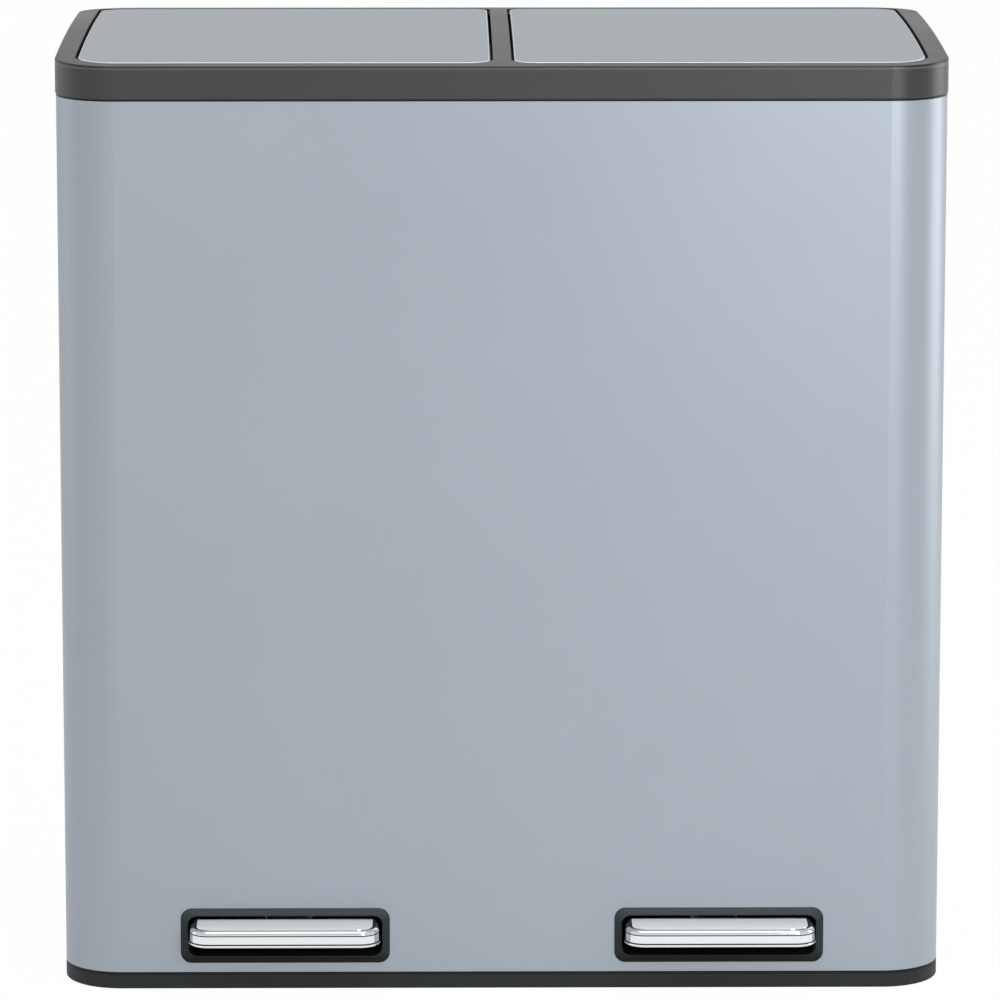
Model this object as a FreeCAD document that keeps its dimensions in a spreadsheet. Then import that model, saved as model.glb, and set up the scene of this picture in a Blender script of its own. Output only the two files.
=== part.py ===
"""Double recycling bin: a painted steel sleeve with two lids, two pedals and two lift-out buckets.

Millimetres. +Z is up, -Y is the front with the pedals, and the origin is the middle of the footprint on the
floor. Pieces are drawn about the middle of the sleeve and set back by half of what the pedals stand out.
"""
import FreeCAD
import Part
import math
import os
import re

import Sketcher
from FreeCAD import Vector

SIZES = {
    # steel sleeve
    "shell_width": 589, "shell_depth": 339, "shell_corner": 39.5, "shell_height": 590, "shell_wall": 0.8,
    "seam_width": 12, "seam_proud": 0.4, "seam_x": 110,
    # base moulding and feet
    "foot_radius": 15, "foot_proud": 0.7, "foot_recess": 1.3, "foot_inset_x": 45, "foot_inset_y": 40,
    "base_height": 10.8, "base_floor": 2.5, "base_rim": 6, "base_round": 1.2,
    "base_lip_height": 6, "base_lip_wall": 2, "base_boss_height": 6,
    # top frame
    "ring_overhang": 0.5, "ring_height": 22, "ring_band": 13.5, "crown_rise": 4,
    "ring_top_round": 1.2, "ring_foot_round": 1, "bar_width": 12, "skirt_height": 25, "skirt_wall": 2.5,
    "ledge_drop": 15, "ledge_wall": 3, "ledge_width": 10, "rear_ledge": 42,
    # lids
    "lid_gap": 2, "lid_inner_corner": 13, "lid_rear_inner": 10, "lid_rear_outer": 18, "well_rear_inner": 7,
    "well_rear_outer": 12, "lid_edge": 10, "lid_skin": 0.8, "lid_round": 1,
    "liner_plate": 2.5, "liner_wall": 2, "hinge_bar": 12, "hinge_inset": 3.5, "hinge_drop": 3,
    "pin_radius": 2, "pin_length": 18, "pin_setback": 2,
    # lug under each lid, and the slot that the push rod turns in
    "lug_radius": 22, "lug_angle": 40, "lug_wall": 5, "lug_margin": 4, "slot_play": 1.1,
    "flange_width": 26, "flange_depth": 27, "flange_wall": 3, "lug_window": 32,
    # push rod
    "rod_radius": 2.5, "rod_offset": 9, "rod_bend": 6, "rod_tip": 15, "rod_foot_radius": 6,
    "rod_foot_height": 16, "guide_width": 18, "guide_height": 10, "guide_plate_width": 40,
    "guide_plate_height": 30, "guide_plate_wall": 2.5, "guide_nose": 8,
    "guide_low_height": 140, "guide_high_height": 430,
    # damper beside each push rod
    "damper_offset": 26, "damper_radius": 11, "damper_bore": 9, "damper_length": 110, "damper_height": 250,
    "damper_cap": 3, "damper_setback": 19, "damper_arm_height": 20, "damper_arm_width": 14,
    "piston_radius": 2, "piston_head_height": 8, "piston_head_rest": 9,
    "link_height": 10, "link_width": 14, "link_rest": 206,
    # pedals
    "pedal_offset": 1.5, "pedal_width": 128, "pedal_depth": 41, "pedal_height": 12.5, "pedal_reach": 33,
    "pedal_top": 50, "pedal_corner": 13, "pedal_wall": 2, "pedal_round": 2.4, "pedal_lip": 2,
    "pedal_lip_height": 2.4,
    "lever_arm": 216, "lever_turn": 7.5, "axle_height": 30, "lever_width": 24, "lever_wall": 2.5,
    "lever_above": 6, "lever_below": 7, "lever_tail_depth": 8, "lever_tail": 9,
    "crosshead_width": 104, "crosshead_gap": 0.9, "crosshead_wall": 2.5, "pad_screw_spread": 40,
    "axle_radius": 3, "axle_head_radius": 5, "axle_head": 1.5,
    "bracket_wall": 3, "bracket_depth": 28, "bracket_ear_top": 38, "bracket_flange": 14,
    # bezels round the pedals
    "bezel_width": 140, "bezel_height": 37.5, "bezel_band": 5, "bezel_corner": 7.3, "bezel_proud": 2,
    "bezel_gap": 7.2, "bezel_sleeve_wall": 2, "bezel_sleeve_depth": 14, "bezel_round": 0.8,
    # buckets
    "bucket_play": 1.5, "bucket_wall": 2, "bucket_rim": 4.5, "bucket_rim_wall": 3, "bucket_base": 75,
    "bucket_draft": 1.3, "bucket_corner": 28, "bail_radius": 2, "bail_drop": 110, "bail_below_rim": 16,
    "bail_side_gap": 6.5, "bail_end": 1, "grip_radius": 6, "grip_length": 90,
    # handle recess in the back
    "handle_width": 120, "handle_height": 42, "handle_corner": 12, "handle_band": 6, "handle_proud": 2,
    "handle_wall": 2, "handle_cup": 20, "handle_drop": 81.5,
    # small parts and fits
    "screw_radius": 2, "screw_head_radius": 4, "screw_head": 2, "screw_length": 8,
    "frame_screw_drop": 12, "frame_screw_spread": 230, "base_screw_spread": 200,
    "bumper_radius": 1.6, "bumper_side": 40, "nib_depth": 4, "nib_length": 1.3, "nib_drop": 4,
    "running_fit": 0.05, "press_fit": 0.02, "moulding_fit": 0.3, "rest_gap": 0.3, "liner_fit": 0.1,
}

doc = FreeCAD.newDocument("double_recycling_bin")
sheet = doc.addObject("Spreadsheet::Sheet", "sizes")
for row, (alias, size) in enumerate(SIZES.items(), start=1):
    sheet.set(f"A{row}", alias)
    sheet.set(f"B{row}", str(size))
    sheet.setAlias(f"B{row}", alias)
doc.recompute()

# Heights above the floor, and places measured from the middle of the sleeve.
base_top = "(foot_proud + base_height)"
floor_top = "(foot_proud + base_floor)"
shell_top = f"({base_top} + shell_height)"
ring_top = f"({shell_top} + ring_height)"
ledge_top = f"({ring_top} - ledge_drop)"
ledge_under = f"({ledge_top} - ledge_wall)"
crown_radius = "((shell_depth / 2 + ring_overhang)^2 + crown_rise^2) / (2 * crown_rise)"
crown_middle = f"({ring_top} + crown_rise - {crown_radius})"

shell_front = "(-shell_depth / 2)"
shell_back = "(shell_depth / 2)"
inner_back = "(shell_depth / 2 - shell_wall)"
well_front = "(ring_band - shell_depth / 2 - ring_overhang)"
well_back = "(shell_depth / 2 + ring_overhang - ring_band)"
well_inside = "(bar_width / 2)"
well_outside = "(shell_width / 2 + ring_overhang - ring_band)"
well_corner = "(shell_corner + ring_overhang - ring_band)"
lid_inside = f"({well_inside} + lid_gap)"
lid_outside = f"({well_outside} - lid_gap)"
lid_front = f"({well_front} + lid_gap)"
lid_back = f"({well_back} - lid_gap)"
lid_foot = f"({ring_top} - lid_edge)"
pedal_x = f"(({lid_inside} + {lid_outside}) / 2 + pedal_offset)"
handle_middle = f"({shell_top} - handle_drop)"
plate_under = f"({ring_top} - lid_skin - liner_fit - liner_plate)"

hinge_y = f"({lid_back} - hinge_inset)"
hinge_z = f"({ring_top} - hinge_drop)"
rod_y = f"({hinge_y} - lug_radius * cos(lug_angle * 1deg))"
rod_pin_z = f"({hinge_z} - lug_radius * sin(lug_angle * 1deg))"
rod_x = f"({pedal_x} - rod_offset)"
damper_x = f"({pedal_x} - rod_offset + damper_offset)"
damper_y = f"({inner_back} - damper_setback)"

mouth_inside = f"({well_inside} + ledge_width)"
mouth_outside = f"({well_outside} - ledge_width)"
mouth_front = f"({well_front} + ledge_width)"
mouth_back = f"({well_back} - rear_ledge)"
bucket_inside = f"({mouth_inside} + bucket_play)"
bucket_outside = f"({mouth_outside} - bucket_play)"
bucket_front = f"({mouth_front} + bucket_play)"
bucket_back = f"({mouth_back} - bucket_play)"
bucket_x = f"(({bucket_inside} + {bucket_outside}) / 2)"
bucket_y = f"(({bucket_front} + {bucket_back}) / 2)"
rim_top = f"({ledge_top} + bucket_rim_wall)"
bail_z = f"({rim_top} - bail_below_rim)"

axle_y = f"({rod_y} - lever_arm)"
half_turn = "(lever_turn * 0.5deg)"
tail_slope = f"tan({half_turn})"
tail_top = f"(axle_height - lever_arm * {tail_slope} + lever_above)"
pedal_front = f"({shell_front} - pedal_reach)"
pedal_back = f"({pedal_front} + pedal_depth)"
pedal_foot = "(pedal_top - pedal_height)"
bezel_foot = f"({base_top} + bezel_gap)"
bezel_middle = f"({bezel_foot} + bezel_height / 2)"
bracket_foot = f"({floor_top} + base_boss_height)"
ear_inside = "(lever_width / 2 + bracket_wall / 4)"
ear_outside = f"({ear_inside} + bracket_wall)"

ring_width = "(shell_width + 2 * ring_overhang)"
ring_depth = "(shell_depth + 2 * ring_overhang)"
ring_corner = "(shell_corner + ring_overhang)"
wall_inset = "(shell_wall + moulding_fit)"
window_front = f"({mouth_back} + bucket_rim + 4 * moulding_fit)"
window_back = f"({lid_back} - hinge_bar / 2)"
pin_spans = [
    ("(bar_width / 2 - pin_setback)", "(bar_width / 2 - pin_setback + pin_length)"),
    (f"({lid_outside} - pin_setback - pin_length)", f"({lid_outside} - pin_setback)"),
]
duct_half_width = "(bezel_width / 2 - bezel_band + bezel_sleeve_wall)"
duct_half_height = "(bezel_height / 2 - bezel_band + bezel_sleeve_wall)"
duct_corner = "(bezel_corner - bezel_band / 2 + bezel_sleeve_wall)"
cup_half_width = "(handle_width / 2 - handle_band)"
cup_half_height = "(handle_height / 2 - handle_band)"
cup_corner = "(handle_corner - handle_band / 2)"
crosshead_top = "(pedal_top - pedal_wall - rest_gap)"
crosshead_back = f"({pedal_back} - pedal_wall - crosshead_gap)"
crosshead_front = f"({pedal_front} + pedal_lip / 2 + pedal_wall + crosshead_gap)"
pad_screw_y = f"(({crosshead_front} + {crosshead_back}) / 2)"
bracket_screw_spread = f"({ear_outside} + bracket_flange / 2)"
lug_screw_spread = "(flange_width / 2 - screw_head_radius - slot_play)"
lug_back = f"({lid_back} - hinge_bar - moulding_fit)"
lug_screw_y = f"({lug_back} - flange_depth / 2 - screw_head_radius / 2)"
bail_end_length = "(bail_side_gap + bucket_wall + bail_end)"
frame_screw_z = f"({shell_top} - frame_screw_drop)"
base_screw_z = f"({base_top} + base_lip_height / 2)"
back_holes = [
    (f"{sign} * {spread}", z)
    for sign in (-1, 1)
    for spread, z in (("frame_screw_spread", frame_screw_z), ("base_screw_spread", base_screw_z))
]
foot_places = [
    (f"{x_sign} * (shell_width / 2 - foot_inset_x)", f"{y_sign} * (shell_depth / 2 - foot_inset_y)")
    for x_sign in (-1, 1)
    for y_sign in (-1, 1)
]


def bound(text):
    """The expression with every size that it names read from the sheet."""
    return re.sub(r"\b[a-z]+(?:_[a-z]+)+\b", lambda word: "sizes." + word.group(), str(text))


def value(text):
    """The number that an expression gives now."""
    return float(sheet.evalExpression(bound(text)))


def bind(thing, name, text):
    thing.setExpression(name, bound(text))


def piece(kind, label, **settings):
    """A document object of a kind, with each of its properties bound to an expression."""
    thing = doc.addObject(kind, label)
    thing.Label = label
    for name, text in settings.items():
        bind(thing, name, text)
    return thing


def place(thing, x, y, z):
    for axis, text in zip("xyz", (x, y, z)):
        bind(thing, f".Placement.Base.{axis}", text)
    return thing


# ---- sketches -------------------------------------------------------------------------------------------


def sketch_on(body, role, offset):
    """An empty sketch on one of a body's own planes, set off along the plane's normal."""
    sketch = body.newObject("Sketcher::SketchObject", body.Name + "_outline")
    origin_plane = next(f for f in body.Origin.OriginFeatures if f.Role == role)
    sketch.AttachmentSupport = [(origin_plane, "")]
    sketch.MapMode = "FlatFace"
    bind(sketch, ".AttachmentOffset.Base.z", offset)
    return sketch


def fix(sketch, kind, geometry, point, text):
    """Holds a point of the sketch at a bound distance from its origin."""
    number = sketch.addConstraint(Sketcher.Constraint(kind, -1, 1, geometry, point, value(text)))
    bind(sketch, f"Constraints[{number}]", text)


def set_radius(sketch, geometry, text):
    number = sketch.addConstraint(Sketcher.Constraint("Radius", geometry, value(text)))
    bind(sketch, f"Constraints[{number}]", text)


def rounded_rectangle(sketch, low, high, radii):
    """A rectangle between two corners, with a radius for each corner from the low one, anticlockwise."""
    x0, y0, x1, y1 = (value(text) for text in (*low, *high))
    r = [value(text) for text in radii]
    corners = [(x0, y0, 1, 1), (x1, y0, -1, 1), (x1, y1, -1, -1), (x0, y1, 1, -1)]
    starts = [(x0 + r[0], y0), (x1, y0 + r[1]), (x1 - r[2], y1), (x0, y1 - r[3])]
    ends = [(x1 - r[1], y0), (x1, y1 - r[2]), (x0 + r[3], y1), (x0, y0 + r[0])]
    lines = [
        sketch.addGeometry(Part.LineSegment(Vector(*a, 0), Vector(*b, 0))) for a, b in zip(starts, ends)
    ]
    arcs = []
    for index, (x, y, to_x, to_y) in enumerate(corners):
        centre = Vector(x + to_x * r[index], y + to_y * r[index], 0)
        circle = Part.Circle(centre, Vector(0, 0, 1), r[index])
        start = math.pi + index * math.pi / 2
        arcs.append(sketch.addGeometry(Part.ArcOfCircle(circle, start, start + math.pi / 2)))
    for index in range(4):
        sketch.addConstraint(Sketcher.Constraint("Tangent", arcs[index], 2, lines[index], 1))
        sketch.addConstraint(Sketcher.Constraint("Tangent", lines[index], 2, arcs[(index + 1) % 4], 1))
        direction = "Vertical" if index % 2 else "Horizontal"
        sketch.addConstraint(Sketcher.Constraint(direction, lines[index]))
        set_radius(sketch, arcs[index], radii[index])
    fix(sketch, "DistanceY", lines[0], 1, low[1])
    fix(sketch, "DistanceX", lines[1], 1, high[0])
    fix(sketch, "DistanceY", lines[2], 1, high[1])
    fix(sketch, "DistanceX", lines[3], 1, low[0])


def centred_rectangle(sketch, width, depth, radius):
    half_width, half_depth = f"({width}) / 2", f"({depth}) / 2"
    low = (f"-{half_width}", f"-{half_depth}")
    rounded_rectangle(sketch, low, (half_width, half_depth), [radius] * 4)


def polygon(sketch, points):
    places = [(value(x), value(y)) for x, y in points]
    lines = []
    for here, there in zip(places, places[1:] + places[:1]):
        lines.append(sketch.addGeometry(Part.LineSegment(Vector(*here, 0), Vector(*there, 0))))
    for index, (x, y) in enumerate(points):
        sketch.addConstraint(Sketcher.Constraint("Coincident", lines[index - 1], 2, lines[index], 1))
        fix(sketch, "DistanceX", lines[index], 1, x)
        fix(sketch, "DistanceY", lines[index], 1, y)


def rectangle(sketch, low, high):
    polygon(sketch, [low, (high[0], low[1]), high, (low[0], high[1])])


def framed(sketch, x, y, half_width, half_height, radius):
    """A rounded rectangle about a centre."""
    low = (f"{x} - ({half_width})", f"{y} - ({half_height})")
    high = (f"{x} + ({half_width})", f"{y} + ({half_height})")
    rounded_rectangle(sketch, low, high, [radius] * 4)


def obround(sketch, start, end, radius):
    """A slot between two centres."""
    (x0, y0), (x1, y1), r = [(value(x), value(y)) for x, y in (start, end)] + [value(radius)]
    along = math.atan2(y1 - y0, x1 - x0)
    across_x, across_y = -math.sin(along) * r, math.cos(along) * r
    arcs = []
    for (x, y), turn in (((x0, y0), math.pi / 2), ((x1, y1), -math.pi / 2)):
        ring = Part.Circle(Vector(x, y, 0), Vector(0, 0, 1), r)
        arcs.append(sketch.addGeometry(Part.ArcOfCircle(ring, along + turn, along + turn + math.pi)))
    below = Part.LineSegment(Vector(x0 - across_x, y0 - across_y, 0), Vector(x1 - across_x, y1 - across_y, 0))
    over = Part.LineSegment(Vector(x1 + across_x, y1 + across_y, 0), Vector(x0 + across_x, y0 + across_y, 0))
    lines = [sketch.addGeometry(below), sketch.addGeometry(over)]
    joints = [(arcs[0], lines[0]), (lines[0], arcs[1]), (arcs[1], lines[1]), (lines[1], arcs[0])]
    for first, second in joints:
        sketch.addConstraint(Sketcher.Constraint("Tangent", first, 2, second, 1))
    sketch.addConstraint(Sketcher.Constraint("Equal", arcs[0], arcs[1]))
    set_radius(sketch, arcs[0], radius)
    for arc, (x, y) in zip(arcs, (start, end)):
        fix(sketch, "DistanceX", arc, 3, x)
        fix(sketch, "DistanceY", arc, 3, y)


def circle(sketch, x, y, radius):
    shape = Part.Circle(Vector(value(x), value(y), 0), Vector(0, 0, 1), value(radius))
    geometry = sketch.addGeometry(shape)
    set_radius(sketch, geometry, radius)
    fix(sketch, "DistanceX", geometry, 3, x)
    fix(sketch, "DistanceY", geometry, 3, y)


# ---- features -------------------------------------------------------------------------------------------


def body_of(label):
    body = doc.addObject("PartDesign::Body", label)
    body.Label = label
    return body


def pad(body, sketch, length, side="One side", reversed_way=False, taper=None):
    feature = body.newObject("PartDesign::Pad", body.Name + "_pad")
    feature.Profile = sketch
    feature.SideType = side
    feature.Reversed = reversed_way
    bind(feature, "Length", length)
    if taper is not None:
        bind(feature, "TaperAngle", taper)
    doc.recompute()
    return feature


def pocket(body, sketch, length, side="One side", reversed_way=False, taper=None):
    """Cuts the sketch into the body, and stops if it took nothing away."""
    before = body.Tip.Shape.Volume
    feature = body.newObject("PartDesign::Pocket", body.Name + "_pocket")
    feature.Profile = sketch
    feature.SideType = side
    feature.Reversed = reversed_way
    bind(feature, "Length", length)
    if taper is not None:
        bind(feature, "TaperAngle", taper)
    doc.recompute()
    if not feature.Shape.Volume < before - 0.01:
        raise RuntimeError(f"{feature.Name} cut nothing from {body.Label}")
    return feature


def crown_cut(body, drop):
    """Trims a body's top to the arc that the frame and both lids share, a given drop below it."""
    reach = "(shell_depth)"
    sketch = sketch_on(body, "YZ_Plane", "0")
    radius = f"({crown_radius} - {drop})"
    half, centre, arc_radius = value(reach), value(crown_middle), value(radius)
    side_height = centre + math.sqrt(arc_radius**2 - half**2)
    lean = math.asin(half / arc_radius)
    arc = sketch.addGeometry(
        Part.ArcOfCircle(
            Part.Circle(Vector(0, centre, 0), Vector(0, 0, 1), arc_radius),
            math.pi / 2 - lean,
            math.pi / 2 + lean,
        )
    )
    roof = value(f"{ring_top} + 4 * crown_rise")
    corners = [(-half, side_height), (-half, roof), (half, roof), (half, side_height)]
    lines = [
        sketch.addGeometry(Part.LineSegment(Vector(*a, 0), Vector(*b, 0)))
        for a, b in zip(corners, corners[1:])
    ]
    for first, first_end, second, second_end in (
        (arc, 2, lines[0], 1), (lines[0], 2, lines[1], 1), (lines[1], 2, lines[2], 1), (lines[2], 2, arc, 1)
    ):
        sketch.addConstraint(Sketcher.Constraint("Coincident", first, first_end, second, second_end))
    sketch.addConstraint(Sketcher.Constraint("Vertical", lines[0]))
    sketch.addConstraint(Sketcher.Constraint("Vertical", lines[2]))
    sketch.addConstraint(Sketcher.Constraint("Horizontal", lines[1]))
    set_radius(sketch, arc, radius)
    fix(sketch, "DistanceX", arc, 3, "0")
    fix(sketch, "DistanceY", arc, 3, crown_middle)
    fix(sketch, "DistanceX", lines[0], 1, f"-{reach}")
    fix(sketch, "DistanceX", lines[2], 1, reach)
    fix(sketch, "DistanceY", lines[1], 1, f"{ring_top} + 4 * crown_rise")
    pocket(body, sketch, "2 * shell_width", side="Symmetric")


def fillet(body, radius, wanted):
    """Rounds the edges of the body's present shape that a test of their middle point picks out."""
    base = body.Tip
    names = []
    for number, edge in enumerate(base.Shape.Edges, start=1):
        middle = edge.valueAt((edge.FirstParameter + edge.LastParameter) / 2)
        if wanted(edge, middle):
            names.append(f"Edge{number}")
    feature = body.newObject("PartDesign::Fillet", body.Name + "_fillet")
    feature.Base = (base, names)
    bind(feature, "Radius", radius)
    doc.recompute()
    return feature


def points_of(edge, middle):
    return [middle, *(vertex.Point for vertex in edge.Vertexes)]


def level_with(height):
    """Picks the edges that lie in a level plane."""
    return lambda edge, middle: all(abs(p.z - value(height)) < 0.01 for p in points_of(edge, middle))


def above(height):
    """Picks the edges that lie wholly above a level plane."""
    return lambda edge, middle: all(p.z > value(height) for p in points_of(edge, middle))


def flush_with(depth):
    """Picks the edges that lie in an upright plane that faces the front."""
    return lambda edge, middle: all(abs(p.y - value(depth)) < 0.01 for p in points_of(edge, middle))


def cylinder(label, radius, length, centre, direction="z"):
    """A round bar that starts at a point and runs along an axis."""
    bar = piece("Part::Cylinder", label, Radius=radius, Height=length)
    turns = {"z": (Vector(0, 0, 1), 0), "x": (Vector(0, 1, 0), 90), "y": (Vector(1, 0, 0), -90)}
    bar.Placement.Rotation = FreeCAD.Rotation(*turns[direction])
    return place(bar, *centre)


def box(label, low, high):
    """A block between two corners."""
    sides = {}
    for name, start, end in zip(("Length", "Width", "Height"), low, high):
        sides[name] = f"({end}) - ({start})"
    return place(piece("Part::Box", label, **sides), *low)


def ball(label, radius, centre):
    return place(piece("Part::Sphere", label, Radius=radius), *centre)


def fuse(label, shapes):
    joined = doc.addObject("Part::MultiFuse", label)
    joined.Label = label
    joined.Shapes = shapes
    return joined


def cut(label, base, tool):
    left = doc.addObject("Part::Cut", label)
    left.Label = label
    left.Base = base
    left.Tool = tool
    return left


def group(label, shapes):
    together = doc.addObject("Part::Compound", label)
    together.Label = label
    together.Links = shapes
    return together


# ---- the standing body ----------------------------------------------------------------------------------


def beside(sign, spread):
    """The x of two points an equal spread to each side of a pedal's middle."""
    return [f"{sign} * {pedal_x} {way} ({spread})" for way in "-+"]


def across(sign, inside, outside):
    """The low and high x of a span that is given from the middle outwards, on one side of the bin."""
    return (inside, outside) if sign > 0 else (f"-{outside}", f"-{inside}")


def corner_radii(sign, inside, outside, rear_inside, rear_outside):
    """The radii of a lid or well in the order that a rounded rectangle takes them."""
    front, rear = [inside, outside], [rear_outside, rear_inside]
    return front + rear if sign > 0 else front[::-1] + rear[::-1]


def outer_shell():
    """Painted steel sleeve with a lap seam down its back, openings for the pedals and the handle."""
    body = body_of("outer_shell")
    sketch = sketch_on(body, "XY_Plane", base_top)
    centred_rectangle(sketch, "shell_width", "shell_depth", "shell_corner")
    pad(body, sketch, "shell_height")
    seam = sketch_on(body, "XY_Plane", base_top)
    rectangle(seam, ("seam_x - seam_width / 2", f"{shell_back} - seam_proud"),
              ("seam_x + seam_width / 2", f"{shell_back} + seam_proud"))
    pad(body, seam, "shell_height")
    inside = sketch_on(body, "XY_Plane", base_top)
    centred_rectangle(
        inside, "shell_width - 2 * shell_wall", "shell_depth - 2 * shell_wall", "shell_corner - shell_wall"
    )
    pocket(body, inside, "shell_height", reversed_way=True)
    openings = sketch_on(body, "XZ_Plane", "0")
    for sign in (-1, 1):
        framed(openings, f"{sign} * {pedal_x}", bezel_middle, f"{duct_half_width} + moulding_fit",
               f"{duct_half_height} + moulding_fit", f"{duct_corner} + moulding_fit")
    pocket(body, openings, "shell_depth", reversed_way=True)
    handle = sketch_on(body, "XZ_Plane", "0")
    framed(handle, "0", handle_middle, f"{cup_half_width} + moulding_fit",
           f"{cup_half_height} + moulding_fit", f"{cup_corner} + moulding_fit")
    pocket(body, handle, "shell_depth")
    screws = sketch_on(body, "XZ_Plane", "0")
    for x, z in back_holes:
        circle(screws, x, z, "screw_radius + running_fit")
    pocket(body, screws, "shell_depth")
    return body


def base_tray():
    """Black moulding that the sleeve stands on, with a lip inside the sleeve and a boss for each pedal."""
    body = body_of("base_tray")
    outline = sketch_on(body, "XY_Plane", "foot_proud")
    centred_rectangle(outline, "shell_width", "shell_depth", "shell_corner")
    pad(body, outline, "base_height")
    fillet(body, "base_round", level_with("foot_proud"))
    hollow = sketch_on(body, "XY_Plane", floor_top)
    centred_rectangle(
        hollow, "shell_width - 2 * base_rim", "shell_depth - 2 * base_rim", "shell_corner - base_rim"
    )
    pocket(body, hollow, "base_height", reversed_way=True)
    lip = sketch_on(body, "XY_Plane", floor_top)
    centred_rectangle(lip, f"shell_width - 2 * {wall_inset}", f"shell_depth - 2 * {wall_inset}",
                      f"shell_corner - {wall_inset}")
    inner = f"({wall_inset} + base_lip_wall)"
    centred_rectangle(lip, f"shell_width - 2 * {inner}", f"shell_depth - 2 * {inner}",
                      f"shell_corner - {inner}")
    pad(body, lip, f"{base_top} - {floor_top} + base_lip_height")
    bosses = sketch_on(body, "XY_Plane", floor_top)
    for sign in (-1, 1):
        reach = f"({ear_outside} + bracket_flange + base_floor)"
        rectangle(
            bosses,
            (f"{sign} * {pedal_x} - {reach}", f"{axle_y} - bracket_depth / 2 - base_floor"),
            (f"{sign} * {pedal_x} + {reach}", f"{axle_y} + bracket_depth / 2 + base_floor"),
        )
    pad(body, bosses, "base_boss_height")
    recesses = sketch_on(body, "XY_Plane", "foot_proud")
    for x, y in foot_places:
        circle(recesses, x, y, "foot_radius + running_fit")
    pocket(body, recesses, "foot_recess", reversed_way=True)
    holes = sketch_on(body, "XY_Plane", bracket_foot)
    for sign in (-1, 1):
        for x in beside(sign, bracket_screw_spread):
            circle(holes, x, axle_y, "screw_radius + running_fit")
    pocket(body, holes, "screw_length - bracket_wall")
    back = sketch_on(body, "XZ_Plane", "0")
    for sign in (-1, 1):
        circle(back, f"{sign} * base_screw_spread", base_screw_z, "screw_radius + running_fit")
    pocket(body, back, "shell_depth")
    return body


def rubber_feet():
    feet = []
    for number, (x, y) in enumerate(foot_places):
        feet.append(cylinder(f"foot_{number}", "foot_radius", "foot_proud + foot_recess", (x, y, "0")))
    return group("rubber_feet", feet)


def top_frame():
    """Dark moulded ring with a bar between the lids, a skirt in the sleeve and a ledge for the buckets."""
    body = body_of("top_frame")
    outline = sketch_on(body, "XY_Plane", shell_top)
    centred_rectangle(outline, ring_width, ring_depth, ring_corner)
    pad(body, outline, "ring_height + crown_rise")
    crown_cut(body, "0")
    fillet(body, "ring_foot_round", level_with(shell_top))
    fillet(body, "ring_top_round", above(f"{ring_top} - ring_top_round / 2"))
    skirt = sketch_on(body, "XY_Plane", f"{shell_top} + ring_height / 4")
    centred_rectangle(skirt, f"shell_width - 2 * {wall_inset}", f"shell_depth - 2 * {wall_inset}",
                      f"shell_corner - {wall_inset}")
    pad(body, skirt, "skirt_height + ring_height / 4", reversed_way=True)
    wells = sketch_on(body, "XY_Plane", ledge_top)
    mouths = sketch_on(body, "XY_Plane", ledge_under)
    for sign in (-1, 1):
        low_x, high_x = across(sign, well_inside, well_outside)
        radii = corner_radii(sign, "lid_inner_corner + lid_gap", well_corner,
                             "well_rear_inner", "well_rear_outer")
        rounded_rectangle(wells, (low_x, well_front), (high_x, well_back), radii)
        low_x, high_x = across(sign, mouth_inside, mouth_outside)
        rounded_rectangle(mouths, (low_x, mouth_front), (high_x, mouth_back), ["bucket_corner"] * 4)
    pocket(body, wells, "ledge_drop + 2 * crown_rise", reversed_way=True)
    pocket(body, mouths, "2 * ledge_wall", side="Symmetric")
    below = sketch_on(body, "XY_Plane", ledge_under)
    inner = f"({wall_inset} + skirt_wall)"
    centred_rectangle(below, f"shell_width - 2 * {inner}", f"shell_depth - 2 * {inner}",
                      f"shell_corner - {inner}")
    pocket(body, below, "ring_height + skirt_height")
    windows = sketch_on(body, "XY_Plane", ledge_under)
    for sign in (-1, 1):
        low = (f"{sign} * {pedal_x} - lug_window / 2", window_front)
        high = (f"{sign} * {pedal_x} + lug_window / 2", window_back)
        rounded_rectangle(windows, low, high, ["screw_radius"] * 4)
    pocket(body, windows, "4 * ledge_wall", side="Symmetric")
    pins = sketch_on(body, "YZ_Plane", "0")
    circle(pins, hinge_y, hinge_z, "pin_radius + press_fit")
    pocket(body, pins, f"2 * {pin_spans[1][1]}", side="Symmetric")
    screws = sketch_on(body, "XZ_Plane", "0")
    for sign in (-1, 1):
        circle(screws, f"{sign} * frame_screw_spread", frame_screw_z, "screw_radius + running_fit")
    pocket(body, screws, "shell_depth")
    return body


def lid_bumpers():
    """Rubber stops on the ledge under each lid's front, and a nib on each side of the middle bar."""
    stops = []
    for sign in (-1, 1):
        for x in (f"{well_inside} + bumper_side", f"{well_outside} - bumper_side"):
            centre = (f"{sign} * ({x})", f"{lid_front} + bumper_radius", ledge_top)
            height = f"{lid_foot} - {ledge_top} - rest_gap"
            stops.append(cylinder(f"stop_{len(stops)}", "bumper_radius", height, centre))
        low_x, high_x = across(sign, well_inside, f"({well_inside} + nib_length)")
        low = (low_x, "-nib_depth / 2", f"{ring_top} - nib_drop")
        stops.append(box(f"nib_{len(stops)}", low, (high_x, "nib_depth / 2", ring_top)))
    return group("lid_bumpers", stops)


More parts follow.
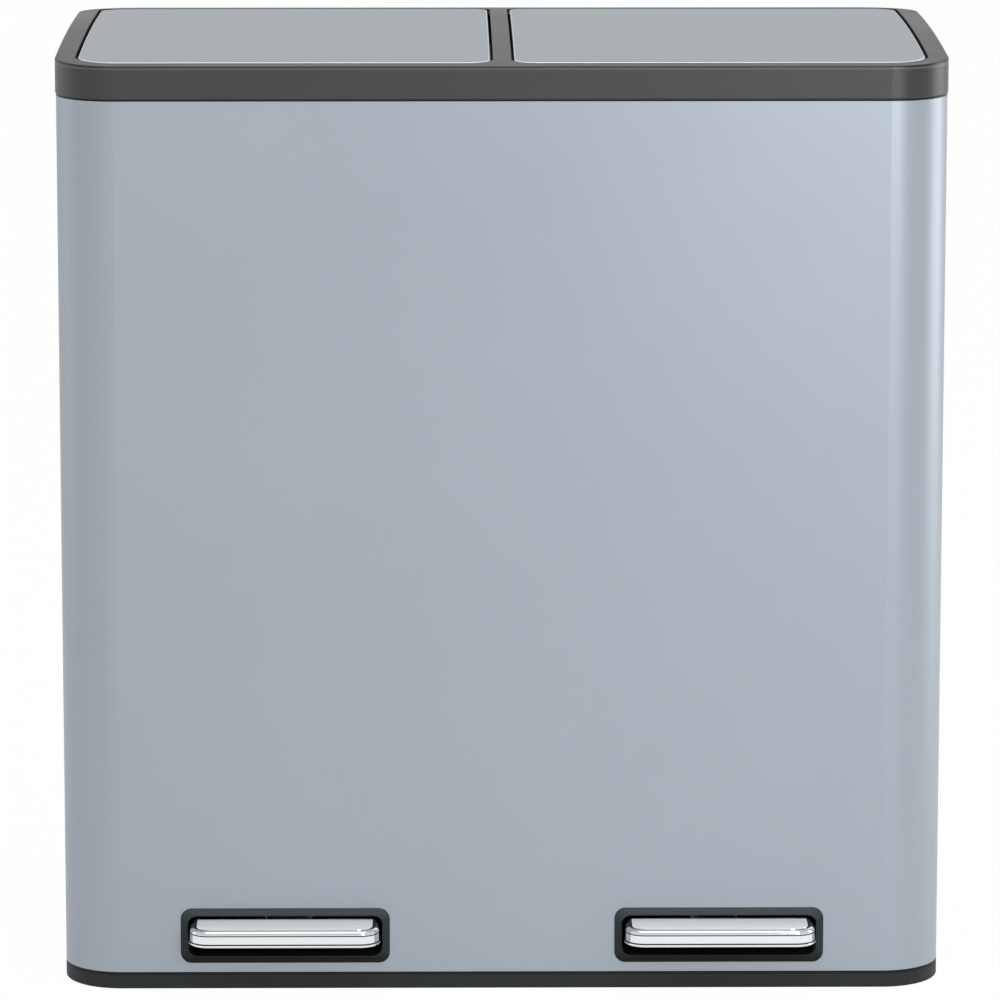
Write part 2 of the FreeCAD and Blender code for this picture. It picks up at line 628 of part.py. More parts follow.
def rear_handle():
    """Moulded finger recess clipped through the sleeve's back."""
    body = body_of("rear_handle")
    flange = sketch_on(body, "XZ_Plane", f"-{shell_back}")
    framed(flange, "0", handle_middle, "handle_width / 2", "handle_height / 2", "handle_corner")
    pad(body, flange, "handle_proud", reversed_way=True)
    cup = sketch_on(body, "XZ_Plane", f"-{shell_back}")
    framed(cup, "0", handle_middle, cup_half_width, cup_half_height, cup_corner)
    pad(body, cup, "handle_cup")
    inside = sketch_on(body, "XZ_Plane", f"handle_cup - handle_wall - {shell_back}")
    framed(inside, "0", handle_middle, f"{cup_half_width} - handle_wall",
           f"{cup_half_height} - handle_wall", f"{cup_corner} - handle_wall")
    pocket(body, inside, "handle_cup + handle_proud")
    return body


def back_screw(name, x, y, z):
    """A pan-head screw driven forwards from behind."""
    shank = cylinder(f"{name}_shank", "screw_radius", "screw_length", (x, f"{y} - screw_length", z), "y")
    head = cylinder(f"{name}_head", "screw_head_radius", "screw_head", (x, y, z), "y")
    return fuse(name, [shank, head])


def back_screw_pair(label, spread, z):
    screws = []
    for number, sign in enumerate((-1, 1)):
        screws.append(back_screw(f"{label}_{number}", f"{sign} * {spread}", shell_back, z))
    return group(label, screws)


def pedal_bezel(side, sign):
    """Plastic surround with a rim on the sleeve's face and a short duct through it."""
    body = body_of(f"pedal_bezel_{side}")
    middle = f"{sign} * {pedal_x}"
    face = sketch_on(body, "XZ_Plane", f"-{shell_front}")
    framed(face, middle, bezel_middle, "bezel_width / 2", "bezel_height / 2", "bezel_corner")
    pad(body, face, "bezel_proud")
    fillet(body, "bezel_round", flush_with(f"{shell_front} - bezel_proud"))
    duct = sketch_on(body, "XZ_Plane", f"-{shell_front}")
    framed(duct, middle, bezel_middle, duct_half_width, duct_half_height, duct_corner)
    pad(body, duct, "bezel_sleeve_depth", reversed_way=True)
    opening = sketch_on(body, "XZ_Plane", f"-{shell_front} + bezel_proud")
    framed(opening, middle, bezel_middle, "bezel_width / 2 - bezel_band", "bezel_height / 2 - bezel_band",
           "bezel_corner - bezel_band / 2")
    pocket(body, opening, "bezel_sleeve_depth + bezel_proud + 1")
    return body


def pedal_bracket(side, sign):
    """Folded steel saddle whose two ears hold the pedal's axle."""
    body = body_of(f"pedal_bracket_{side}")
    profile = sketch_on(body, "XZ_Plane", f"-({axle_y})")
    foot, top = bracket_foot, "bracket_ear_top"
    plate = f"({foot} + bracket_wall)"
    flange = f"({ear_outside} + bracket_flange)"
    points = [
        (f"-{flange}", foot), (flange, foot), (flange, plate), (ear_outside, plate), (ear_outside, top),
        (ear_inside, top), (ear_inside, plate), (f"-{ear_inside}", plate), (f"-{ear_inside}", top),
        (f"-{ear_outside}", top), (f"-{ear_outside}", plate), (f"-{flange}", plate),
    ]
    polygon(profile, [(f"{sign} * {pedal_x} + {x}", z) for x, z in points])
    pad(body, profile, "bracket_depth", side="Symmetric")
    eye = sketch_on(body, "YZ_Plane", f"{sign} * {pedal_x}")
    circle(eye, axle_y, "axle_height", "axle_radius + press_fit")
    pocket(body, eye, f"4 * {ear_outside}", side="Symmetric")
    holes = sketch_on(body, "XY_Plane", plate)
    for x in beside(sign, bracket_screw_spread):
        circle(holes, x, axle_y, "screw_radius + running_fit")
    pocket(body, holes, "bracket_wall")
    return body


def bracket_screws(side, sign):
    screws = []
    for number, x in enumerate(beside(sign, bracket_screw_spread)):
        name = f"bracket_screw_{side}_{number}"
        under_head = f"({bracket_foot} + bracket_wall)"
        shank = cylinder(f"{name}_shank", "screw_radius", "screw_length",
                         (x, axle_y, f"{under_head} - screw_length"))
        head = cylinder(f"{name}_head", "screw_head_radius", "screw_head", (x, axle_y, under_head))
        screws.append(fuse(name, [shank, head]))
    return group(f"bracket_screws_{side}", screws)


def pedal_axle(side, sign):
    """Riveted steel pin with a head outside each ear."""
    half = f"({ear_outside} + press_fit)"
    middle = f"{sign} * {pedal_x}"
    bar = cylinder(f"axle_bar_{side}", "axle_radius", f"2 * {half}",
                   (f"{middle} - {half}", axle_y, "axle_height"), "x")
    heads = []
    for number, x in enumerate((f"{middle} - {half} - axle_head", f"{middle} + {half}")):
        heads.append(cylinder(f"axle_head_{side}_{number}", "axle_head_radius", "axle_head",
                              (x, axle_y, "axle_height"), "x"))
    return fuse(f"pedal_axle_{side}", [bar, *heads])


def rod_guides(side, sign):
    """Two plastic arms on the sleeve's back that the push rod slides through."""
    guides = []
    middle = f"{sign} * {rod_x}"
    for name, height in (("low", "guide_low_height"), ("high", "guide_high_height")):
        label = f"guide_{name}_{side}"
        plate = box(f"{label}_plate",
                    (f"{middle} - guide_plate_width / 2", f"{inner_back} - guide_plate_wall",
                     f"{height} - guide_plate_height / 2"),
                    (f"{middle} + guide_plate_width / 2", inner_back, f"{height} + guide_plate_height / 2"))
        arm = box(f"{label}_arm",
                  (f"{middle} - guide_width / 2", f"{rod_y} - guide_nose", f"{height} - guide_height / 2"),
                  (f"{middle} + guide_width / 2", f"{inner_back} - guide_plate_wall / 2",
                   f"{height} + guide_height / 2"))
        hole = cylinder(f"{label}_hole", "rod_radius + running_fit", "guide_plate_height",
                        (middle, rod_y, f"{height} - guide_plate_height / 2"))
        guides.append(cut(label, fuse(f"{label}_blank", [plate, arm]), hole))
    return group(f"rod_guides_{side}", guides)


def damper_cylinder(side, sign):
    """Sealed air damper held to the sleeve's back by two arms."""
    middle = f"{sign} * {damper_x}"
    barrel = cylinder(f"barrel_{side}", "damper_radius", "damper_length", (middle, damper_y, "damper_height"))
    arms = []
    for number, height in enumerate(("damper_height", "damper_height + damper_length - damper_arm_height")):
        arms.append(box(f"damper_arm_{side}_{number}",
                        (f"{middle} - damper_arm_width / 2", damper_y, height),
                        (f"{middle} + damper_arm_width / 2", inner_back, f"{height} + damper_arm_height")))
    bore = cylinder(f"bore_{side}", "damper_bore", "damper_length - 2 * damper_cap",
                    (middle, damper_y, "damper_height + damper_cap"))
    eye = cylinder(f"damper_eye_{side}", "piston_radius + running_fit", "2 * damper_cap",
                   (middle, damper_y, "damper_height - damper_cap / 2"))
    return cut(f"damper_cylinder_{side}", fuse(f"damper_blank_{side}", [barrel, *arms]),
               fuse(f"damper_space_{side}", [bore, eye]))


def hinge_pins(side, sign):
    """The two steel pins that one lid turns on."""
    pins = []
    for number, (start, end) in enumerate(pin_spans):
        low_x, _ = across(sign, start, end)
        pins.append(cylinder(f"hinge_pin_{side}_{number}", "pin_radius", "pin_length",
                             (low_x, hinge_y, hinge_z), "x"))
    return group(f"hinge_pins_{side}", pins)


# ---- lids -----------------------------------------------------------------------------------------------


def lid_outline(sketch, sign, inset, back):
    """A lid's outline, drawn in from its edge by an inset, as far as a given back edge."""
    low_x, high_x = across(sign, f"({lid_inside} + {inset})", f"({lid_outside} - {inset})")
    corners = ("lid_inner_corner", f"{well_corner} - lid_gap", "lid_rear_inner", "lid_rear_outer")
    radii = corner_radii(sign, *(f"{corner} - {inset}" for corner in corners))
    rounded_rectangle(sketch, (low_x, f"{lid_front} + {inset}"), (high_x, back), radii)


def pin_bore(body, sign):
    bore = sketch_on(body, "YZ_Plane", f"{sign} * ({lid_inside} + {lid_outside}) / 2")
    circle(bore, hinge_y, hinge_z, "pin_radius + running_fit")
    pocket(body, bore, f"{lid_outside} - {lid_inside}", side="Symmetric")


def lid_panel(side, sign):
    """Painted steel skin with turned-down edges."""
    body = body_of(f"lid_panel_{side}")
    outline = sketch_on(body, "XY_Plane", lid_foot)
    lid_outline(outline, sign, "0", lid_back)
    pad(body, outline, "lid_edge + 2 * crown_rise")
    crown_cut(body, "0")
    fillet(body, "lid_round", above(f"{ring_top} - lid_round"))
    base = body.Tip
    under = next(
        f"Face{n}" for n, face in enumerate(base.Shape.Faces, start=1)
        if abs(face.CenterOfMass.z - value(lid_foot)) < 0.01
    )
    hollow = body.newObject("PartDesign::Thickness", f"{body.Name}_skin")
    hollow.Base = (base, [under])
    hollow.Reversed = True
    bind(hollow, "Value", "lid_skin")
    doc.recompute()
    pin_bore(body, sign)
    return body


def lid_liner(side, sign):
    """Moulding inside the lid, with a wall round it and a solid bar at the back that the pins enter."""
    body = body_of(f"lid_liner_{side}")
    inset = "(lid_skin + liner_fit)"
    outline = sketch_on(body, "XY_Plane", lid_foot)
    lid_outline(outline, sign, inset, f"{lid_back} - {inset}")
    pad(body, outline, "lid_edge + 2 * crown_rise")
    crown_cut(body, inset)
    hollow = sketch_on(body, "XY_Plane", plate_under)
    lid_outline(hollow, sign, f"({inset} + liner_wall)", f"{lid_back} - hinge_bar")
    pocket(body, hollow, "lid_edge")
    pin_bore(body, sign)
    screws = sketch_on(body, "XY_Plane", plate_under)
    for x in beside(sign, lug_screw_spread):
        circle(screws, x, lug_screw_y, "screw_radius + running_fit")
    pocket(body, screws, "liner_plate - lid_skin", reversed_way=True)
    return body


def lid_lug(side, sign):
    """Moulded lug screwed under the lid, with a slot for the push rod's bent end."""
    body = body_of(f"lid_lug_{side}")
    half = "(rod_radius + slot_play + lug_margin)"
    flange = sketch_on(body, "XY_Plane", plate_under)
    rectangle(flange, (f"{sign} * {pedal_x} - flange_width / 2", f"{lug_back} - flange_depth"),
              (f"{sign} * {pedal_x} + flange_width / 2", lug_back))
    pad(body, flange, "flange_wall", reversed_way=True)
    plate = sketch_on(body, "YZ_Plane", f"{sign} * {pedal_x}")
    rectangle(plate, (f"{rod_y} - {half}", rod_pin_z),
              (f"{lug_back} - press_fit", f"{plate_under} - flange_wall / 2"))
    pad(body, plate, "lug_wall", side="Symmetric")
    nose = sketch_on(body, "YZ_Plane", f"{sign} * {pedal_x}")
    circle(nose, rod_y, rod_pin_z, half)
    pad(body, nose, "lug_wall", side="Symmetric")
    slot = sketch_on(body, "YZ_Plane", f"{sign} * {pedal_x}")
    near = "lug_radius * cos(lug_angle * 1deg)"
    end = (f"{hinge_y} - {near} * cos(lug_angle * 1deg)", f"{hinge_z} - {near} * sin(lug_angle * 1deg)")
    obround(slot, (rod_y, rod_pin_z), end, "rod_radius + slot_play")
    pocket(body, slot, "2 * lug_wall", side="Symmetric")
    screws = sketch_on(body, "XY_Plane", plate_under)
    for x in beside(sign, lug_screw_spread):
        circle(screws, x, lug_screw_y, "screw_radius + running_fit")
    pocket(body, screws, "flange_wall")
    return body


def lug_screws(side, sign):
    screws = []
    for number, x in enumerate(beside(sign, lug_screw_spread)):
        name = f"lug_screw_{side}_{number}"
        under = f"({plate_under} - flange_wall)"
        shank = cylinder(f"{name}_shank", "screw_radius", "flange_wall + liner_plate - lid_skin",
                         (x, lug_screw_y, under))
        head = cylinder(f"{name}_head", "screw_head_radius", "screw_head",
                        (x, lug_screw_y, f"{under} - screw_head"))
        screws.append(fuse(name, [shank, head]))
    return group(f"lug_screws_{side}", screws)


# ---- push rods and what rides on them -------------------------------------------------------------------


def push_rod(side, sign):
    """Steel wire that stands over the pedal lever's tail and bends into the lid's lug."""
    x = f"{sign} * {rod_x}"
    foot = f"({tail_top} + rest_gap + rod_foot_height / 2)"
    bend_z = f"({rod_pin_z} - rod_bend)"
    upright = cylinder(f"rod_upright_{side}", "rod_radius", f"{bend_z} - {foot}", (x, rod_y, foot))
    bend = piece("Part::Torus", f"rod_bend_{side}", Radius1="rod_bend", Radius2="rod_radius")
    bend.Angle3 = 90
    turn = FreeCAD.Rotation(Vector(1, 0, 0), 90)
    if sign > 0:
        turn = FreeCAD.Rotation(Vector(0, 1, 0), -90).multiply(turn)
    bend.Placement.Rotation = turn
    place(bend, f"{x} + {sign} * rod_bend", rod_y, bend_z)
    low_x, _ = across(sign, f"({rod_x} + rod_bend)", f"({rod_x} + rod_tip)")
    tip = cylinder(f"rod_tip_{side}", "rod_radius", "rod_tip - rod_bend", (low_x, rod_y, rod_pin_z), "x")
    return fuse(f"push_rod_{side}", [upright, bend, tip])


def rod_foot(side, sign):
    """Plastic cap with a domed sole on the push rod's lower end."""
    x = f"{sign} * {rod_x}"
    sole = f"({tail_top} + rest_gap)"
    dome = piece("Part::Sphere", f"foot_dome_{side}", Radius="rod_foot_radius")
    place(dome, x, rod_y, f"{sole} + rod_foot_radius")
    sleeve = cylinder(f"foot_sleeve_{side}", "rod_foot_radius", "rod_foot_height - rod_foot_radius",
                      (x, rod_y, f"{sole} + rod_foot_radius"))
    hole = cylinder(f"foot_hole_{side}", "rod_radius + press_fit", "rod_foot_height",
                    (x, rod_y, f"{sole} + rod_foot_height / 2"))
    return cut(f"rod_foot_{side}", fuse(f"foot_blank_{side}", [dome, sleeve]), hole)


def damper_piston(side, sign):
    """Piston and its thin rod, which hangs out of the damper's lower end."""
    centre = (f"{sign} * {damper_x}", damper_y)
    head_z = "(damper_height + damper_cap + piston_head_rest)"
    stem = cylinder(f"piston_stem_{side}", "piston_radius", f"{head_z} - link_rest", (*centre, "link_rest"))
    head = cylinder(f"piston_head_{side}", "damper_bore - running_fit", "piston_head_height",
                    (*centre, head_z))
    return fuse(f"damper_piston_{side}", [stem, head])


def damper_link(side, sign):
    """Plastic clamp that ties the damper's piston to the push rod."""
    low_x, high_x = across(sign, f"({rod_x} - link_width / 2)", f"({damper_x} + link_width / 2)")
    blank = box(f"link_blank_{side}", (low_x, f"{rod_y} - link_width / 2", "link_rest - link_height / 2"),
                (high_x, f"{damper_y} + link_width / 2", "link_rest + link_height / 2"))
    rod_hole = cylinder(f"link_rod_hole_{side}", "rod_radius + press_fit", "2 * link_height",
                        (f"{sign} * {rod_x}", rod_y, "link_rest - link_height"))
    socket = cylinder(f"link_socket_{side}", "piston_radius + press_fit", "link_height",
                      (f"{sign} * {damper_x}", damper_y, "link_rest"))
    return cut(f"damper_link_{side}", blank, fuse(f"link_holes_{side}", [rod_hole, socket]))


# ---- pedals ---------------------------------------------------------------------------------------------


def pedal_pad(side, sign):
    """Chromed hollow cap of the pedal, with rounded front corners and a lip round its foot."""
    body = body_of(f"pedal_pad_{side}")
    middle = f"{sign} * {pedal_x}"

    def outline(inset, back_inset="0"):
        sketch = sketch_on(body, "XY_Plane", pedal_foot)
        low = (f"{middle} - pedal_width / 2 + {inset}", f"{pedal_front} + {inset}")
        high = (f"{middle} + pedal_width / 2 - {inset}", f"{pedal_back} - {back_inset}")
        front, back = f"pedal_corner - {inset}", "pedal_round + pedal_lip"
        rounded_rectangle(sketch, low, high, [front, front, back, back])
        return sketch

    pad(body, outline("pedal_lip / 2"), "pedal_height")
    fillet(body, "pedal_round", level_with("pedal_top"))
    pad(body, outline("0"), "pedal_lip_height")
    inside = outline("(pedal_lip / 2 + pedal_wall)", "pedal_wall")
    pocket(body, inside, "pedal_height - pedal_wall", reversed_way=True)
    notch = sketch_on(body, "XY_Plane", pedal_foot)
    rectangle(notch, (f"{middle} - lever_width / 2 - 1", f"{pedal_back} - 2 * pedal_wall"),
              (f"{middle} + lever_width / 2 + 1", f"{pedal_back} + pedal_wall"))
    pocket(body, notch, "pedal_height - pedal_wall", reversed_way=True)
    return body


def pedal_lever(side, sign):
    """Pressed steel channel from the crosshead under the pad, over the axle, to the tail under the rod."""
    body = body_of(f"pedal_lever_{side}")
    middle = f"{sign} * {pedal_x}"
    profile = sketch_on(body, "YZ_Plane", middle)
    tail_end = f"({rod_y} + lever_tail)"
    tail_end_top = f"({tail_top} - lever_tail * {tail_slope})"
    neck = crosshead_back
    crown = "(axle_height + lever_above)"
    polygon(profile, [
        (tail_end, tail_end_top), (axle_y, crown), (neck, crosshead_top),
        (neck, f"{crosshead_top} - lever_tail_depth"),
        (f"{axle_y} - lever_below", "axle_height - lever_below"),
        (f"{axle_y} + lever_below", "axle_height - lever_below"),
        (tail_end, f"{tail_end_top} - lever_tail_depth"),
    ])
    pad(body, profile, "lever_width", side="Symmetric")
    channel = sketch_on(body, "YZ_Plane", middle)
    polygon(channel, [
        (f"{tail_end} + 1", f"{tail_end_top} - lever_wall"), (axle_y, f"{crown} - lever_wall"),
        (f"{neck} - 1", f"{crosshead_top} - lever_wall"),
        (f"{neck} - 1", f"{crosshead_top} - 4 * lever_tail_depth"),
        (f"{tail_end} + 1", f"{tail_end_top} - 2 * lever_tail_depth"),
    ])
    pocket(body, channel, "lever_width - 2 * lever_wall", side="Symmetric")
    head = sketch_on(body, "XY_Plane", crosshead_top)
    rectangle(head, (f"{middle} - crosshead_width / 2", crosshead_front),
              (f"{middle} + crosshead_width / 2", crosshead_back))
    pad(body, head, "crosshead_wall", reversed_way=True)
    eye = sketch_on(body, "YZ_Plane", middle)
    circle(eye, axle_y, "axle_height", "axle_radius + running_fit")
    pocket(body, eye, "2 * lever_width", side="Symmetric")
    holes = sketch_on(body, "XY_Plane", crosshead_top)
    for x in beside(sign, "pad_screw_spread"):
        circle(holes, x, pad_screw_y, "screw_radius + running_fit")
    pocket(body, holes, "crosshead_wall")
    return body


def pad_screws(side, sign):
    screws = []
    for number, x in enumerate(beside(sign, "pad_screw_spread")):
        name = f"pad_screw_{side}_{number}"
        under = f"({crosshead_top} - crosshead_wall)"
        shank = cylinder(f"{name}_shank", "screw_radius", "crosshead_wall + rest_gap",
                         (x, pad_screw_y, under))
        head = cylinder(f"{name}_head", "screw_head_radius", "screw_head",
                        (x, pad_screw_y, f"{under} - screw_head"))
        screws.append(fuse(name, [shank, head]))
    return group(f"pad_screws_{side}", screws)


# ---- buckets --------------------------------------------------------------------------------------------


def bucket(side, sign):
    """Lift-out bucket: drafted walls hanging by a rim on the frame's ledge."""
    body = body_of(f"bucket_{side}")
    low_x, high_x = across(sign, bucket_inside, bucket_outside)
    height = f"({rim_top} - bucket_base)"

    def outline(inset):
        sketch = sketch_on(body, "XY_Plane", rim_top)
        radii = [f"bucket_corner - {inset}"] * 4
        low = (f"{low_x} + {inset}", f"{bucket_front} + {inset}")
        rounded_rectangle(sketch, low, (f"{high_x} - {inset}", f"{bucket_back} - {inset}"), radii)
        return sketch

    pad(body, outline("0"), height, reversed_way=True, taper="-bucket_draft")
    rim = sketch_on(body, "XY_Plane", rim_top)
    reach = "(bucket_rim + bucket_play)"
    rounded_rectangle(rim, (f"{low_x} - {reach}", f"{bucket_front} - {reach}"),
                      (f"{high_x} + {reach}", f"{bucket_back} + {reach}"), [f"bucket_corner + {reach}"] * 4)
    pad(body, rim, "bucket_rim_wall", reversed_way=True)
    pocket(body, outline("bucket_wall"), f"{height} - bucket_wall", taper="-bucket_draft")
    pivots = sketch_on(body, "YZ_Plane", f"{sign} * {bucket_x}")
    circle(pivots, bucket_y, bail_z, "bail_radius + running_fit")
    pocket(body, pivots, f"2 * ({bucket_outside} - {bucket_inside})", side="Symmetric")
    return body


def bucket_handle(side, sign):
    """Steel wire bail that hangs inside the bucket from a hole in each side wall."""
    middle = f"({sign} * {bucket_x})"
    half = f"(({bucket_outside} - {bucket_inside}) / 2 - bucket_wall - bail_side_gap)"
    bars = []
    for number, way in enumerate((-1, 1)):
        x = f"({middle} + {way} * {half})"
        end_x = x if way > 0 else f"({x} - {bail_end_length})"
        bars.append(cylinder(f"bail_end_{side}_{number}", "bail_radius", bail_end_length,
                             (end_x, bucket_y, bail_z), "x"))
        bars.append(ball(f"bail_knee_{side}_{number}", "bail_radius", (x, bucket_y, bail_z)))
        bars.append(cylinder(f"bail_leg_{side}_{number}", "bail_radius", "bail_drop",
                             (x, bucket_y, f"{bail_z} - bail_drop")))
        bars.append(ball(f"bail_elbow_{side}_{number}", "bail_radius",
                         (x, bucket_y, f"{bail_z} - bail_drop")))
    bars.append(cylinder(f"bail_bow_{side}", "bail_radius", f"2 * {half}",
                         (f"{middle} - {half}", bucket_y, f"{bail_z} - bail_drop"), "x"))
    return fuse(f"bucket_handle_{side}", bars)


def bucket_grip(side, sign):
    """Plastic tube on the bail's bow."""
    start = (f"{sign} * {bucket_x} - grip_length / 2", bucket_y, f"{bail_z} - bail_drop")
    tube = cylinder(f"grip_tube_{side}", "grip_radius", "grip_length", start, "x")
    hole = cylinder(f"grip_hole_{side}", "bail_radius + press_fit", "grip_length", start, "x")
    return cut(f"bucket_grip_{side}", tube, hole)


# ---- the whole bin --------------------------------------------------------------------------------------

parts = [
    outer_shell(),
    base_tray(),
    rubber_feet(),
    top_frame(),
    lid_bumpers(),
    rear_handle(),
    back_screw_pair("frame_screws", "frame_screw_spread", frame_screw_z),
    back_screw_pair("base_screws", "base_screw_spread", base_screw_z),
]
one_of_each = [
    pedal_bezel, pedal_bracket, bracket_screws, pedal_axle, rod_guides, damper_cylinder, hinge_pins,
    lid_panel, lid_liner, lid_lug, lug_screws, push_rod, rod_foot, damper_piston, damper_link,
    pedal_pad, pedal_lever, pad_screws, bucket, bucket_handle, bucket_grip,
]
for side, sign in (("left", -1), ("right", 1)):
    parts += [make(side, sign) for make in one_of_each]

# The origin is the middle of the footprint, which reaches from the pedals' fronts to the handle's back.
for part in parts:
    bind(part, ".Placement.Base.y", "(pedal_reach - handle_proud) / 2")
doc.recompute()

for thing in doc.Objects:
    if {"Invalid", "Error"} & set(thing.State):
        raise RuntimeError(f"{thing.Label} failed: {thing.State}")
for part in parts:
    if part.Shape.isNull() or not part.Shape.isValid():
        raise RuntimeError(f"{part.Label} has no valid shape")

os.makedirs("parts", exist_ok=True)
for part in parts:
    part.Shape.exportStep(f"parts/{part.Label}.step")
    print(f"{part.Label}: {len(part.Shape.Solids)} solid, {part.Shape.Volume / 1000:.2f} cm3")
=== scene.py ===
"""Double recycling bin: its looks, studio light and camera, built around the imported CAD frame.

Metres, +Z up, the pedals at -Y. Each section is one piece or group of the bin, in the order in which it is
put together.
"""
import math

import bmesh
import bpy
from mathutils import Matrix, Vector


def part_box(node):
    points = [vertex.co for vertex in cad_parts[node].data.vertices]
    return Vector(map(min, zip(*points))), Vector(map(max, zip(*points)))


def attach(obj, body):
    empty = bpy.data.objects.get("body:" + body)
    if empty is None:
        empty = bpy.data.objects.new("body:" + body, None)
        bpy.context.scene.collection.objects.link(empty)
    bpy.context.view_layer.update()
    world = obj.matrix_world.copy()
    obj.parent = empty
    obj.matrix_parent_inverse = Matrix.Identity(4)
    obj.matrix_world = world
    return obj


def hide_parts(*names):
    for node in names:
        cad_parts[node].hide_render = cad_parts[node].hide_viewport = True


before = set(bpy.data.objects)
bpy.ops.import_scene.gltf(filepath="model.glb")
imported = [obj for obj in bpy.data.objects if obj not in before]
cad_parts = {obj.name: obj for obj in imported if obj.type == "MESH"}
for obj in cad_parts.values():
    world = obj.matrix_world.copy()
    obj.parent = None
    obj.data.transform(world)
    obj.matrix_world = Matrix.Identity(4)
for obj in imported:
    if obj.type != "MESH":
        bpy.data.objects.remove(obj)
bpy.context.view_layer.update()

# ---- camera ---------------------------------------------------------------------------------------------
# A long lens a little above the rim, square to the front and slightly left of the middle. The picture is
# 1000 x 1000; the small shift keeps the bin's uprights almost parallel, as a product shot has them.
lens_pixels = 5932.3
pitch, yaw, roll = math.radians(9.808), math.radians(0.536), math.radians(0.023)
camera = bpy.data.objects.new("camera", bpy.data.cameras.new("camera"))
bpy.context.scene.collection.objects.link(camera)
camera.data.sensor_width = 36.0
camera.data.lens = lens_pixels / 1000 * camera.data.sensor_width
camera.data.shift_y = -0.15
camera.data.clip_start, camera.data.clip_end = 0.05, 60.0
camera.location = (-0.0376, -4.0048, 1.1011)
face_bin = Matrix.Rotation(-yaw, 3, "Z")
tip_down = Matrix.Rotation(math.pi / 2 - pitch, 3, "X")
lean = Matrix.Rotation(roll, 3, "Z")
camera.rotation_euler = (face_bin @ tip_down @ lean).to_euler()
bpy.context.scene.camera = camera

# ---- floor and light ------------------------------------------------------------------------------------
# White paper on the floor of a bright white room, with a tall soft box in front to the right. An upright box
# at each side gives the rounded corners their pale bands, and one overhead lights the lids.
floor_sheet = bmesh.new()
bmesh.ops.create_grid(floor_sheet, x_segments=1, y_segments=1, size=20.0)
floor = bpy.data.objects.new("studio_floor", bpy.data.meshes.new("studio_floor"))
floor_sheet.to_mesh(floor.data)
floor_sheet.free()
bpy.context.scene.collection.objects.link(floor)


def worked_out(tree, operation, first, second):
    """The result of an operation on two values of a node tree, each of them an output or a plain number."""
    working = tree.nodes.new("ShaderNodeMath")
    working.operation = operation
    for number, value in enumerate((first, second)):
        if isinstance(value, bpy.types.NodeSocket):
            tree.links.new(value, working.inputs[number])
        else:
            working.inputs[number].default_value = value
    return working.outputs[0]


def seen_white(tree, shade, to_the_eye, off_gloss):
    """Mixes a shader with white, by one share for what the eye sees and by another for what gloss mirrors."""
    path = tree.nodes.new("ShaderNodeLightPath")
    mirrored = worked_out(tree, "MULTIPLY", path.outputs["Is Glossy Ray"], off_gloss)
    seen = worked_out(tree, "MAXIMUM", path.outputs["Is Camera Ray"], path.outputs["Is Transmission Ray"])
    share = worked_out(tree, "MULTIPLY", worked_out(tree, "MAXIMUM", seen, mirrored), to_the_eye)
    blend = tree.nodes.new("ShaderNodeMixShader")
    tree.links.new(share, blend.inputs["Fac"])
    tree.links.new(shade, blend.inputs[1])
    return blend


paper = bpy.data.materials.new("studio_paper")
paper.use_nodes = True
tree = paper.node_tree
sheet = tree.nodes["Principled BSDF"]
sheet.inputs["Base Color"].default_value = (0.86, 0.86, 0.86, 1)
sheet.inputs["Roughness"].default_value = 0.9
glow = tree.nodes.new("ShaderNodeEmission")
glow.inputs["Strength"].default_value = 1.0
blend = seen_white(tree, sheet.outputs[0], to_the_eye=0.985, off_gloss=0.6)
tree.links.new(glow.outputs[0], blend.inputs[2])
tree.links.new(blend.outputs[0], tree.nodes["Material Output"].inputs["Surface"])
floor.data.materials.append(paper)

studio = bpy.data.worlds.new("studio")
studio.use_nodes = True
tree = studio.node_tree
room = tree.nodes["Background"]
room.inputs["Color"].default_value = (1, 1, 1, 1)
room.inputs["Strength"].default_value = 0.63
bright = tree.nodes.new("ShaderNodeBackground")
bright.inputs["Color"].default_value = (1, 1, 1, 1)
bright.inputs["Strength"].default_value = 1.0
blend = seen_white(tree, room.outputs[0], to_the_eye=1.0, off_gloss=0.08)
tree.links.new(bright.outputs[0], blend.inputs[2])
tree.links.new(blend.outputs[0], tree.nodes["World Output"].inputs["Surface"])
bpy.context.scene.world = studio
bpy.context.scene.view_settings.view_transform = "Standard"


def soft_box(name, watts, place, target, size):
    """Hangs a soft box of a given width and height that faces a point of the bin."""
    lamp = bpy.data.objects.new(name, bpy.data.lights.new(name, "AREA"))
    lamp.data.shape = "RECTANGLE"
    lamp.data.size, lamp.data.size_y = size
    lamp.data.energy = watts
    lamp.location = place
    lamp.rotation_euler = (Vector(place) - Vector(target)).to_track_quat("Z", "Y").to_euler()
    bpy.context.scene.collection.objects.link(lamp)


soft_box("key_box", 27, place=(0.9, -2.6, 1.1), target=(0.15, -0.15, 0.5), size=(0.6, 1.2))
soft_box("right_box", 11, place=(1.9, 0.45, 0.7), target=(0.0, 0.0, 0.4), size=(1.1, 1.6))
soft_box("left_box", 2, place=(-1.9, 0.4, 0.6), target=(0.0, 0.0, 0.35), size=(1.1, 1.6))
soft_box("top_box", 12, place=(0.0, -0.5, 2.4), target=(0.0, 0.0, 0.6), size=(1.6, 1.2))

# ---- base tray and feet ---------------------------------------------------------------------------------
# The bin stands on a black moulded tray, as wide as the sleeve, with a fine spark-eroded grain. Four round
# rubber feet, ribbed underneath against slipping, are pressed into recesses of the tray.


def ramp(tree, value, start, end):
    """A share that goes from 0 to 1 as a value goes from start to end."""
    slope = tree.nodes.new("ShaderNodeMapRange")
    slope.inputs["From Min"].default_value, slope.inputs["From Max"].default_value = start, end
    tree.links.new(value, slope.inputs["Value"])
    return slope.outputs[0]


